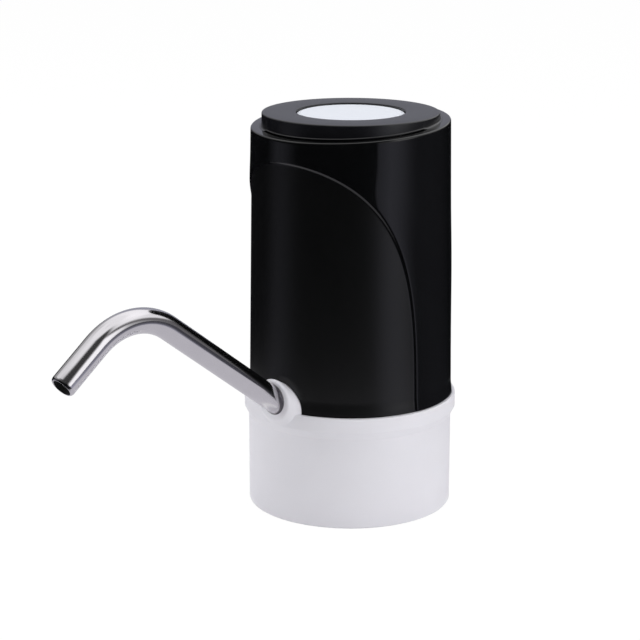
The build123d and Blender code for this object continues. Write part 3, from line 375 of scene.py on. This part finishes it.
def inside_arch(finish, arch, facing):
    """1 within the bevel of an arch that faces the front (-1) or the back (1), 0 around it."""
    height, half_angle, middle = arch
    x, y, z = finish.axes()
    turn = finish.maths("ARCTAN2", x, facing * y) - radians(middle)
    across = finish.maths("ABSOLUTE", turn) / radians(half_angle)
    up = finish.maths("MAXIMUM", (z - seam) / height, 0.0)
    return finish.maths("LESS_THAN", across**arch_turn_power + up**arch_rise_power, arch_floor)


def black_gloss():
    """Polished black moulding, less bright within the arches, with faint wiping marks."""
    finish = new_finish("black_gloss")
    panel = inside_arch(finish, front_arch, -1) + inside_arch(finish, back_arch, 1)
    smear = finish.noise(14 * MM, detail=3.0, place=finish.stretched((1.0, 1.0, 0.35)))
    haze = finish.noise(1.1 * MM, detail=3.0)
    ripple = finish.noise(22 * MM, detail=1.0)
    return finish.surface({
        "Base Color": finish.mixed(smear, (0.0016, 0.0017, 0.0019), (0.0030, 0.0032, 0.0036)),
        "Roughness": 0.04 + 0.025 * smear + 0.015 * haze + 0.27 * panel,
        "Normal": finish.bump(ripple, 0.02 * MM),
    })


def lid_satin():
    """Spark-textured dark plastic."""
    finish = new_finish("lid_satin")
    grain = finish.noise(0.32 * MM, detail=3.0)
    patch = finish.noise(9 * MM)
    return finish.surface({
        "Base Color": finish.mixed(patch, (0.0042, 0.0043, 0.0058), (0.0062, 0.0063, 0.0084)),
        "Roughness": 0.26 + 0.08 * grain,
        "Normal": finish.bump(grain, 0.03 * MM),
    })


def plate_silver():
    """Bright lacquered plate with very fine turned lines."""
    finish = new_finish("plate_silver")
    wave = finish.node(
        "ShaderNodeTexWave",
        {"wave_type": "RINGS", "rings_direction": "Z"},
        {"Vector": finish.point(), "Scale": 900.0, "Distortion": 1.5, "Detail": 2.0},
    )["Fac"]
    cloud = finish.noise(6 * MM)
    return finish.surface({
        "Base Color": finish.mixed(cloud, (0.84, 0.87, 0.93), (0.88, 0.91, 0.97)),
        "Metallic": 0.1,
        "Roughness": 0.30 + 0.08 * wave,
        "Normal": finish.bump(wave, 0.004 * MM),
    })


def white_moulding():
    """Satin white moulding, a little uneven."""
    finish = new_finish("white_moulding")
    cloud = finish.noise(18 * MM)
    grain = finish.noise(0.25 * MM)
    return finish.surface({
        "Base Color": finish.mixed(cloud, (0.755, 0.745, 0.795), (0.805, 0.795, 0.845)),
        "Roughness": 0.36 + 0.10 * grain,
        "Subsurface Weight": 0.08,
        "Subsurface Radius": (1.0, 0.9, 0.85),
        "Subsurface Scale": 0.8 * MM,
        "Normal": finish.bump(grain, 0.01 * MM),
    })


def spout_steel():
    """Polished stainless tube with faint drawing lines along it."""
    finish = new_finish("spout_steel")
    lines = finish.noise(0.5 * MM, detail=4.0, place=finish.stretched((1.0, 0.06, 0.06)))
    cloud = finish.noise(7 * MM)
    return finish.surface({
        "Base Color": finish.mixed(cloud, (0.590, 0.575, 0.600), (0.648, 0.632, 0.658)),
        "Metallic": 1.0,
        "Roughness": 0.09 + 0.05 * lines,
        "Normal": finish.bump(lines, 0.001 * MM),
    })


def speckled(name, dark, light, size, roughness, relief, metallic=0.0, sockets=None):
    """Moulded or machined surface whose colour and gloss vary with one fine noise."""
    finish = new_finish(name)
    grain = finish.noise(size, detail=3.0)
    return finish.surface({
        "Base Color": finish.mixed(grain, dark, light),
        "Roughness": roughness + 0.15 * grain,
        "Metallic": metallic,
        "Normal": finish.bump(grain, relief),
        **(sockets or {}),
    })


def board_green():
    """Solder mask over fine copper tracks."""
    finish = new_finish("board_green")
    cells = finish.node(
        "ShaderNodeTexVoronoi",
        {"feature": "F1", "distance": "CHEBYCHEV"},
        {"Vector": finish.point(), "Scale": 420.0},
    )["Distance"]
    tracks = finish.ramp(cells, [(0.42, (0, 0, 0)), (0.50, (1, 1, 1))])
    return finish.surface({
        "Base Color": finish.mixed(tracks, (0.010, 0.085, 0.030), (0.022, 0.17, 0.060)),
        "Roughness": 0.32 + 0.1 * finish.noise(2 * MM),
        "Normal": finish.bump(tracks, 0.03 * MM),
    })


def coil_copper():
    """Lacquered wire wound in close turns."""
    finish = new_finish("coil_copper")
    turns = finish.node(
        "ShaderNodeTexWave",
        {"wave_type": "BANDS", "bands_direction": "Z"},
        {"Vector": finish.point(), "Scale": 500.0, "Distortion": 0.6, "Detail": 1.0},
    )["Fac"]
    return finish.surface({
        "Base Color": finish.mixed(turns, (0.30, 0.09, 0.03), (0.62, 0.24, 0.10)),
        "Metallic": 0.9,
        "Roughness": 0.28 + 0.12 * turns,
        "Normal": finish.bump(turns, 0.12 * MM),
    })


def clear_rubber():
    """Milky silicone."""
    finish = new_finish("clear_rubber")
    cloud = finish.noise(4 * MM)
    return finish.surface({
        "Base Color": finish.mixed(cloud, (0.72, 0.72, 0.70), (0.82, 0.82, 0.80)),
        "Roughness": 0.30 + 0.1 * cloud,
        "Transmission Weight": 0.35,
        "Normal": finish.bump(cloud, 0.05 * MM),
    })


finishes = {
    "white_plastic": white_moulding(),
    "black_plastic": black_gloss(),
    "lid_plastic": lid_satin(),
    "bright_plate": plate_silver(),
    "steel_tube": spout_steel(),
    "green_board": board_green(),
    "copper": coil_copper(),
    "clear_silicone": clear_rubber(),
    **{name: speckled(name, *row) for name, row in plain_finishes.items()},
}


def dress_frame():
    """Give every CAD node the finish of its slot."""
    for row in frame["record"]["subparts"]:
        mesh = frame["nodes"][row["node"]].data
        mesh.materials.clear()
        mesh.materials.append(finishes[row["material_slot"]])


def placed(name, data):
    """New object in the scene."""
    made = bpy.data.objects.new(name, data)
    bpy.context.scene.collection.objects.link(made)
    return made


def aimed(way):
    """Rotation of a camera or a lamp that looks along a way."""
    return way.to_track_quat("-Z", "Y").to_euler()


def ring_angles(columns):
    """Angles of points spaced evenly round a ring."""
    return [2 * pi * column / columns for column in range(columns)]


def new_piece(name, vertices, faces, slot, sharp_angle=corner_angle):
    """Mesh object with smooth faces and sharp corners, in the finish of a slot."""
    mesh = bpy.data.meshes.new(name)
    mesh.from_pydata(vertices, [], faces)
    mesh.shade_smooth()
    mesh.set_sharp_from_angle(angle=radians(sharp_angle))
    mesh.materials.append(finishes[slot])
    return placed(name, mesh)


def stand_for(piece, node, body):
    """Let a piece take the place of a CAD node on its body."""
    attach(piece, body)
    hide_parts(node)


def rounded(corners):
    """Outline through corners (radius, height, rounding), with arcs at the rounded ones."""
    outline = []
    for index, (radius, height, rounding) in enumerate(corners):
        corner = Vector((radius, height))
        if not rounding:
            outline.append(corner)
            continue
        before = (Vector(corners[index - 1][:2]) - corner).normalized()
        after = (Vector(corners[(index + 1) % len(corners)][:2]) - corner).normalized()
        half = before.angle(after) / 2
        centre = corner + (before + after).normalized() * rounding / sin(half)
        start = corner + before * rounding / tan(half) - centre
        end = corner + after * rounding / tan(half) - centre
        turn = (atan2(end.y, end.x) - atan2(start.y, start.x) + pi) % (2 * pi) - pi
        for step in range(round_steps + 1):
            angle = atan2(start.y, start.x) + turn * step / round_steps
            outline.append(centre + Vector((cos(angle), sin(angle))) * rounding)
    return outline


def tube_faces(ring_count, columns, closed):
    """Faces between rings of points, and from the last ring to the first if it is closed."""
    faces = []
    for ring in range(ring_count if closed else ring_count - 1):
        first = ring * columns
        second = (ring + 1) % ring_count * columns
        for column in range(columns):
            following = (column + 1) % columns
            faces.append((first + column, first + following, second + following, second + column))
    return faces


def turned_points(outline_at, columns):
    """Rings of points from the outline (radius, height) at each angle round the axis."""
    angles = ring_angles(columns)
    outlines = [outline_at(angle) for angle in angles]
    points = []
    for ring in zip(*outlines):
        points += [(r * cos(angle), r * sin(angle), z) for angle, (r, z) in zip(angles, ring)]
    return points, len(outlines[0])


def turned_piece(name, outline_at, columns, slot):
    """Closed piece from outlines that run anticlockwise, off the axis."""
    points, ring_count = turned_points(outline_at, columns)
    return new_piece(name, points, tube_faces(ring_count, columns, True), slot)


def shoulder_height(radius, angle):
    """Height of the slanted shoulder, which is lowest at the front."""
    return shoulder + (top_radius + radius * sin(angle)) * tan(radians(shoulder_slant))


def ease(share):
    """Smooth step from 0 to 1."""
    share = min(max(share, 0.0), 1.0)
    return share * share * (3 - 2 * share)


def arch_distance(turn, rise, arch):
    """Distance from an arch's lip, negative inside, for a turn from the front and a rise."""
    height, half_angle, middle = arch
    half_turn = radians(half_angle)
    across = abs(turn - radians(middle)) / half_turn
    up = max(rise, 0.0) / height
    excess = across**arch_turn_power + up**arch_rise_power - 1
    if excess < arch_well_inside:
        return -height
    slope_across = arch_turn_power * across ** (arch_turn_power - 1) / (half_turn * bottom_radius)
    slope_up = arch_rise_power * up ** (arch_rise_power - 1) / height
    return excess / hypot(slope_across, slope_up)


def arch_relief(distance):
    """How far the body's surface stands out at a distance from an arch's lip."""
    if distance > 0:
        return arch_swell * exp(-((distance / arch_swell_width) ** 2) * arch_swell_fall)
    fall = ease(-distance / arch_bevel)
    return arch_swell - (arch_swell + arch_depth) * fall


def body_surface(turn, height):
    """Outer radius of the body at a turn from the front and a height."""
    rise = height - seam
    radius = bottom_radius - body_taper * rise / (shoulder - seam)
    radius += body_flare * (1 - ease(rise / flare_height))
    front = arch_relief(arch_distance(turn, rise, front_arch))
    back_turn = pi - abs(turn)
    back = arch_relief(arch_distance(back_turn, rise, back_arch))
    return radius + (min(front, back) if min(front, back) < 0 else max(front, back))


def body_outline(angle):
    """Section of the body at an angle: outer skin, shoulder, lid ledge, inside and bottom lip."""
    turn = (angle + pi / 2 + pi) % (2 * pi) - pi
    rim = shoulder_height(top_radius, angle)
    foot = seam + seam_round
    skin_top = rim - 2 * shoulder_round
    skin_rows = round((shoulder - foot) / body_row_height)
    heights = [foot + (skin_top - foot) * row / skin_rows for row in range(skin_rows + 1)]
    skin = [(body_surface(turn, height), height) for height in heights]
    ledge_top = shoulder - ledge_depth
    ledge_inner = opening_radius - ledge_width
    lip_radius = inner_radius + lip_thickness
    inside = rounded([
        (*skin[-1], 0),
        (body_surface(turn, rim), rim, shoulder_round),
        (opening_radius, shoulder_height(opening_radius, angle), opening_round),
        (opening_radius, ledge_top, 0),
        (ledge_inner, ledge_top, 0),
        (ledge_inner, ledge_top - ledge_thickness, 0),
        (top_radius - body_wall, ledge_top - ledge_thickness, 0),
        (inner_radius, seam, 0),
        (inner_radius, seam - lip_height, 0),
        (lip_radius, seam - lip_height, 0),
        (lip_radius, seam, 0),
        (bottom_radius, seam, 0),
    ])
    return skin + inside[1:]


def make_housing():
    """Body shell with its arches, cut for the spout boss, the charging port and its light."""
    piece = turned_piece("body_shell", body_outline, body_columns, "black_plastic")
    cut(piece, [boss_cutter(), port_cutter(), window_cutter()])
    stand_for(piece, "upper_housing", "pump_frame")


def prism(name, rings):
    """Closed solid between two rings of as many points."""
    columns = len(rings[0])
    vertices = [point for ring in rings for point in ring]
    faces = tube_faces(len(rings), columns, False)
    faces.append(tuple(reversed(range(columns))))
    faces.append(tuple(range(columns * (len(rings) - 1), columns * len(rings))))
    return new_piece(name, vertices, faces, "black_plastic")


def boss_cutter():
    """Room for the base's spout boss, a little larger all round."""
    root_reach, root_height, root_radius = boss_root
    face_reach, face_height, face_radius = boss_face
    rings = []
    for share in boss_cut_shares:
        reach = root_reach + (face_reach - root_reach) * share
        middle = root_height + (face_height - root_height) * share
        radius = root_radius + (face_radius - root_radius) * share + boss_clearance
        angles = ring_angles(boss_columns)
        rings.append([(radius * cos(a), -reach, middle + radius * sin(a)) for a in angles])
    return prism("boss_cutter", rings)


def side_cutter(name, outline):
    """Cutter through the back wall from an outline of (x, z) points."""
    near = inner_radius - back_cut_depth
    far = bottom_radius + body_wall
    return prism(name, [[(x, y, z) for x, z in outline] for y in (far, near)])


def port_cutter():
    """Slot for the charging socket."""
    half_width, half_height = port_size[0] / 2, port_size[1] / 2
    corners = [
        (half_width, port_height + half_height, port_round),
        (-half_width, port_height + half_height, port_round),
        (-half_width, port_height - half_height, port_round),
        (half_width, port_height - half_height, port_round),
    ]
    return side_cutter("port_cutter", rounded(corners))


def window_cutter():
    """Round hole for the charging light's window."""
    outline = [
        (window_offset + window_radius * cos(angle), port_height + window_radius * sin(angle))
        for angle in ring_angles(window_columns)
    ]
    return side_cutter("window_cutter", outline)


def cut(piece, cutters):
    """Take the cutters' volumes out of a piece."""
    for cutter in cutters:
        modifier = piece.modifiers.new(cutter.name, "BOOLEAN")
        modifier.operation = "DIFFERENCE"
        modifier.solver = "MANIFOLD"
        modifier.object = cutter
    graph = bpy.context.evaluated_depsgraph_get()
    mesh = bpy.data.meshes.new_from_object(piece.evaluated_get(graph))
    piece.modifiers.clear()
    piece.data = mesh
    mesh.shade_smooth()
    mesh.set_sharp_from_angle(angle=radians(corner_angle))
    for cutter in cutters:
        bpy.data.objects.remove(cutter)


def slot_share(angle):
    """1 along the slot under the lid's wall, 0 where the wall sits on the shoulder."""
    offset = abs((angle - radians(slot_middle) + pi) % (2 * pi) - pi)
    return 1 - ease((offset - radians(slot_half_angle)) / radians(slot_end))


def slot_gap(angle):
    """Height of the lid's foot over the shoulder."""
    return lid_seat + (lid_gap - lid_seat) * slot_share(angle)


def lid_foot(angle):
    """Foot of the lid's wall: a fine bead over the slot, a soft fillet where it sits down."""
    wall = lid_radius - lid_bead
    points = []
    for step in range(lid_foot_steps + 1):
        share = step / lid_foot_steps
        turn = pi / 2 * share
        bead = Vector((wall + lid_bead * min(1, 2 - 2 * share), 2 * lid_bead * share))
        fillet = Vector((wall + lid_fillet * (1 - sin(turn)), lid_fillet * (1 - cos(turn))))
        radius, rise = fillet.lerp(bead, slot_share(angle))
        points.append((radius, shoulder_height(radius, angle) + slot_gap(angle) + rise))
    return points


def lid_outline(angle):
    """Section of the lid at an angle: sleeve, plate, neck and a wall with a slanted foot."""
    neck_radius = lid_radius - lid_overhang
    neck_bottom = shoulder - ledge_depth
    hole = plate_radius + button_gap
    top = lid_high.z
    return rounded([
        (hole, top, hole_round),
        (hole, top - sleeve_depth, 0),
        (hole + sleeve_wall, top - sleeve_depth, 0),
        (hole + sleeve_wall, top - lid_plate, 0),
        (neck_radius - lid_neck_wall, top - lid_plate, 0),
        (neck_radius - lid_neck_wall, neck_bottom, 0),
        (neck_radius, neck_bottom, 0),
        (neck_radius, shoulder_height(neck_radius, angle) + slot_gap(angle), 0),
        *((radius, height, 0) for radius, height in lid_foot(angle)),
        (lid_radius - lid_bead, top, lid_edge_round),
    ])


def make_lid():
    """Lid with the button's sleeve."""
    piece = turned_piece("lid_shell", lid_outline, lid_columns, "lid_plastic")
    stand_for(piece, "top_lid", "pump_frame")


def make_plate():
    """Button plate: flat face, bevelled rim and fine rounded edges, with its middle closed."""
    width, drop = plate_bevel
    outline = rounded([
        (plate_middle, plate_high.z, 0),
        (plate_middle, plate_low.z, 0),
        (plate_radius, plate_low.z, 0),
        (plate_radius, plate_high.z - drop, plate_round),
        (plate_radius - width, plate_high.z, plate_round),
    ])
    points, ring_count = turned_points(lambda angle: outline, lid_columns)
    faces = tube_faces(ring_count, lid_columns, True)[lid_columns:]
    faces.append(tuple(range(lid_columns)))
    faces.append(tuple(reversed(range(lid_columns, 2 * lid_columns))))
    piece = new_piece("button_plate", points, faces, "bright_plate")
    stand_for(piece, "button_disc", "button")


def spout_stations():
    """Points and directions of the spout's axis from its tail to its tip."""
    start = Vector(spout_joint["pos_m"])
    direction = Vector(spout_joint["axis"]).normalized()
    stations = []
    for share in straight_shares:
        along = share * spout_straight - (1 - share) * spout_tail
        stations.append((start + direction * along, direction))
    bend_start = stations[-1][0]
    inward = direction.cross(spout_side)
    if inward.z > 0:
        inward = -inward
    centre = bend_start + inward * spout_bend_radius
    for step in range(1, spout_bend_steps + 1):
        angle = radians(spout_bend_angle) * step / spout_bend_steps
        outward = direction * sin(angle) - inward * cos(angle)
        heading = direction * cos(angle) + inward * sin(angle)
        stations.append((centre + outward * spout_bend_radius, heading))
    end, heading = stations[-1]
    for share in end_shares:
        stations.append((end + heading * spout_end * share, heading))
    return stations


def make_spout():
    """Bent tube with a tip rolled inwards, open right through."""
    stations = spout_stations()
    tip, heading = stations[-1]
    edge = tip_opening + tip_lip
    skin = [(point, way, spout_radius) for point, way in stations[:-1]]
    for step in range(tip_steps + 1):
        angle = pi / 2 * step / tip_steps
        back = tip_length * (1 - sin(angle))
        skin.append((tip - heading * back, heading, edge + (spout_radius - edge) * cos(angle)))
    for step in range(1, tip_steps + 1):
        angle = pi / 2 * step / tip_steps
        back = tip_lip * (1 - cos(angle))
        skin.append((tip - heading * back, heading, edge - tip_lip * sin(angle)))
    bore = [(point, way, spout_radius - spout_wall) for point, way in reversed(stations[:-1])]
    rings = skin + bore
    vertices = []
    for point, way, radius in rings:
        up = spout_side.cross(way)
        for angle in ring_angles(spout_columns):
            vertices.append(point + (spout_side * cos(angle) + up * sin(angle)) * radius)
    faces = tube_faces(len(rings), spout_columns, True)
    piece = new_piece("spout_pipe", vertices, faces, "steel_tube", spout_corner_angle)
    # The bore's faces take the painted shade of the tube's inside
    piece.data.materials.append(finishes["bore_painted_shade"])
    bore_start = (len(skin) - tip_steps // 2) * spout_columns
    for face in piece.data.polygons[bore_start:]:
        face.material_index = 1
    piece.visible_glossy = False
    stand_for(piece, "spout_tube", "spout")


def make_camera():
    """Camera at the photograph's place."""
    data = bpy.data.cameras.new("photo_camera")
    data.lens = camera_lens
    data.sensor_width = camera_sensor
    data.clip_start = camera_near
    camera = placed("photo_camera", data)
    camera.location = camera_place
    pitch, heading = radians(camera_pitch), radians(camera_heading)
    forward = Vector((-sin(heading) * cos(pitch), cos(heading) * cos(pitch), -sin(pitch)))
    camera.rotation_euler = aimed(forward)
    bpy.context.scene.camera = camera


def shown_to_eye(finish):
    """1 for rays that show the background: from the camera, in gloss and through glass."""
    path = finish.node("ShaderNodeLightPath")
    seen = path["Is Camera Ray"] + path["Is Glossy Ray"] + path["Is Transmission Ray"]
    return finish.maths("MINIMUM", seen, 1.0)


def make_world():
    """White background, with a softer even light on the object."""
    world = bpy.data.worlds.new("studio")
    bpy.context.scene.world = world
    finish = Finish(world)
    seen = shown_to_eye(finish)
    background = finish.node("ShaderNodeBackground", {}, {
        "Color": white,
        "Strength": world_light + (1 - world_light) * seen,
    })
    finish.node("ShaderNodeOutputWorld", {}, {"Surface": background})


def stage_piece(name, vertices, faces, finish):
    """Piece of the studio, not of the object."""
    mesh = bpy.data.meshes.new(name)
    mesh.from_pydata(vertices, [], faces)
    mesh.materials.append(finish.owner)
    piece = placed(name, mesh)
    return piece


def make_floor():
    """Pale floor that shows white and keeps a soft shadow."""
    finish = new_finish("floor_white")
    matt = finish.node("ShaderNodeBsdfDiffuse", {}, {"Color": floor_grey})
    glow = finish.node("ShaderNodeEmission", {}, {"Color": white, "Strength": floor_white})
    seen = shown_to_eye(finish)
    mixed = finish.node("ShaderNodeMixShader", {}, {0: floor_glow * seen, 1: matt, 2: glow})
    finish.node("ShaderNodeOutputMaterial", {}, {"Surface": mixed})
    ways = ((-1, -1), (1, -1), (1, 1), (-1, 1))
    corners = [(x * studio_reach, y * studio_reach, -floor_drop) for x, y in ways]
    stage_piece("floor", corners, [(0, 1, 2, 3)], finish)


def reflection_card(name, rings, finish):
    """Card through rings (radius, height) round the object, seen only in its gloss."""
    vertices = []
    for radius, height in rings:
        for angle in ring_angles(card_columns):
            vertices.append((radius * cos(angle), radius * sin(angle), height))
    card = stage_piece(name, vertices, tube_faces(len(rings), card_columns, False), finish)
    card.visible_camera = False
    card.visible_diffuse = False
    card.visible_transmission = False
    card.visible_shadow = False


def around(finish, levels, tint=white):
    """Colour of a card by the degrees round the object."""
    x, y, _ = finish.axes()
    turn = finish.maths("ARCTAN2", y, x) / (2 * pi) + 0.5
    stops = []
    for degrees, level in levels:
        stops.append((degrees / 360 + 0.5, tuple(level * part for part in tint)))
    return finish.ramp(turn, stops)


def glowing(finish, colour):
    """Close a card's material with its own light."""
    glow = finish.node("ShaderNodeEmission", {}, {"Color": colour})
    finish.node("ShaderNodeOutputMaterial", {}, {"Surface": glow})


def make_mat():
    """Grey sheet under the object and a dark mat with two pale strips round it."""
    finish = new_finish("mat_strips")
    x, y, _ = finish.axes()
    away = (x * x + y * y) ** 0.5
    strips = around(finish, mat_levels, mat_tint)
    glowing(finish, finish.mixed(finish.fade(away, mat_near), mat_near_grey, strips))
    reflection_card("dark_mat", [(mat_inner, mat_lift), (studio_reach, mat_lift)], finish)


def make_dome():
    """Bright and dark sheets above the floor: at the horizon, low, half way up and overhead."""
    finish = new_finish("dome_sheets")
    x, y, z = finish.axes()
    climb = finish.maths("ARCSINE", z / dome_radius) / radians(1)
    turn = finish.maths("ARCTAN2", y, x) / radians(1)
    low, middle, overhead = (finish.fade(climb, band) for band in dome_bands)
    sides = finish.mixed(low, around(finish, dome_horizon), around(finish, dome_low))
    sides = finish.mixed(around(finish, dome_back), sides, dome_back_grey)
    offset = turn + streak_slope * climb - streak_middle
    below, above = streak_reach
    off_streak = finish.maths("MAXIMUM", offset / above, offset / -below)
    sides = finish.mixed(finish.fade(off_streak, (streak_core, 1.0)), streak_tone, sides)
    sides = finish.mixed(middle, sides, around(finish, dome_middle))
    glowing(finish, finish.mixed(overhead, sides, dome_top))
    steps = [radians(angle) for angle in range(0, 90, dome_step)]
    reflection_card("dome", [(dome_radius * cos(a), dome_radius * sin(a)) for a in steps], finish)


def make_lamp(name, place, size):
    """Soft box that faces the object's middle."""
    data = bpy.data.lights.new(name, "AREA")
    data.shape = "RECTANGLE"
    data.size, data.size_y = size
    data.energy = lamp_power
    lamp = placed(name, data)
    lamp.location = place
    lamp.visible_glossy = False
    lamp.rotation_euler = aimed(Vector(lamp_target) - Vector(place))


def make_studio():
    """World, floor, cards and soft boxes."""
    make_world()
    make_floor()
    make_mat()
    make_dome()
    for name, place, size in soft_boxes:
        make_lamp(name, place, size)


dress_frame()
make_housing()
make_lid()
make_plate()
make_spout()
make_camera()
make_studio()
bpy.context.scene.view_settings.view_transform = "Standard"
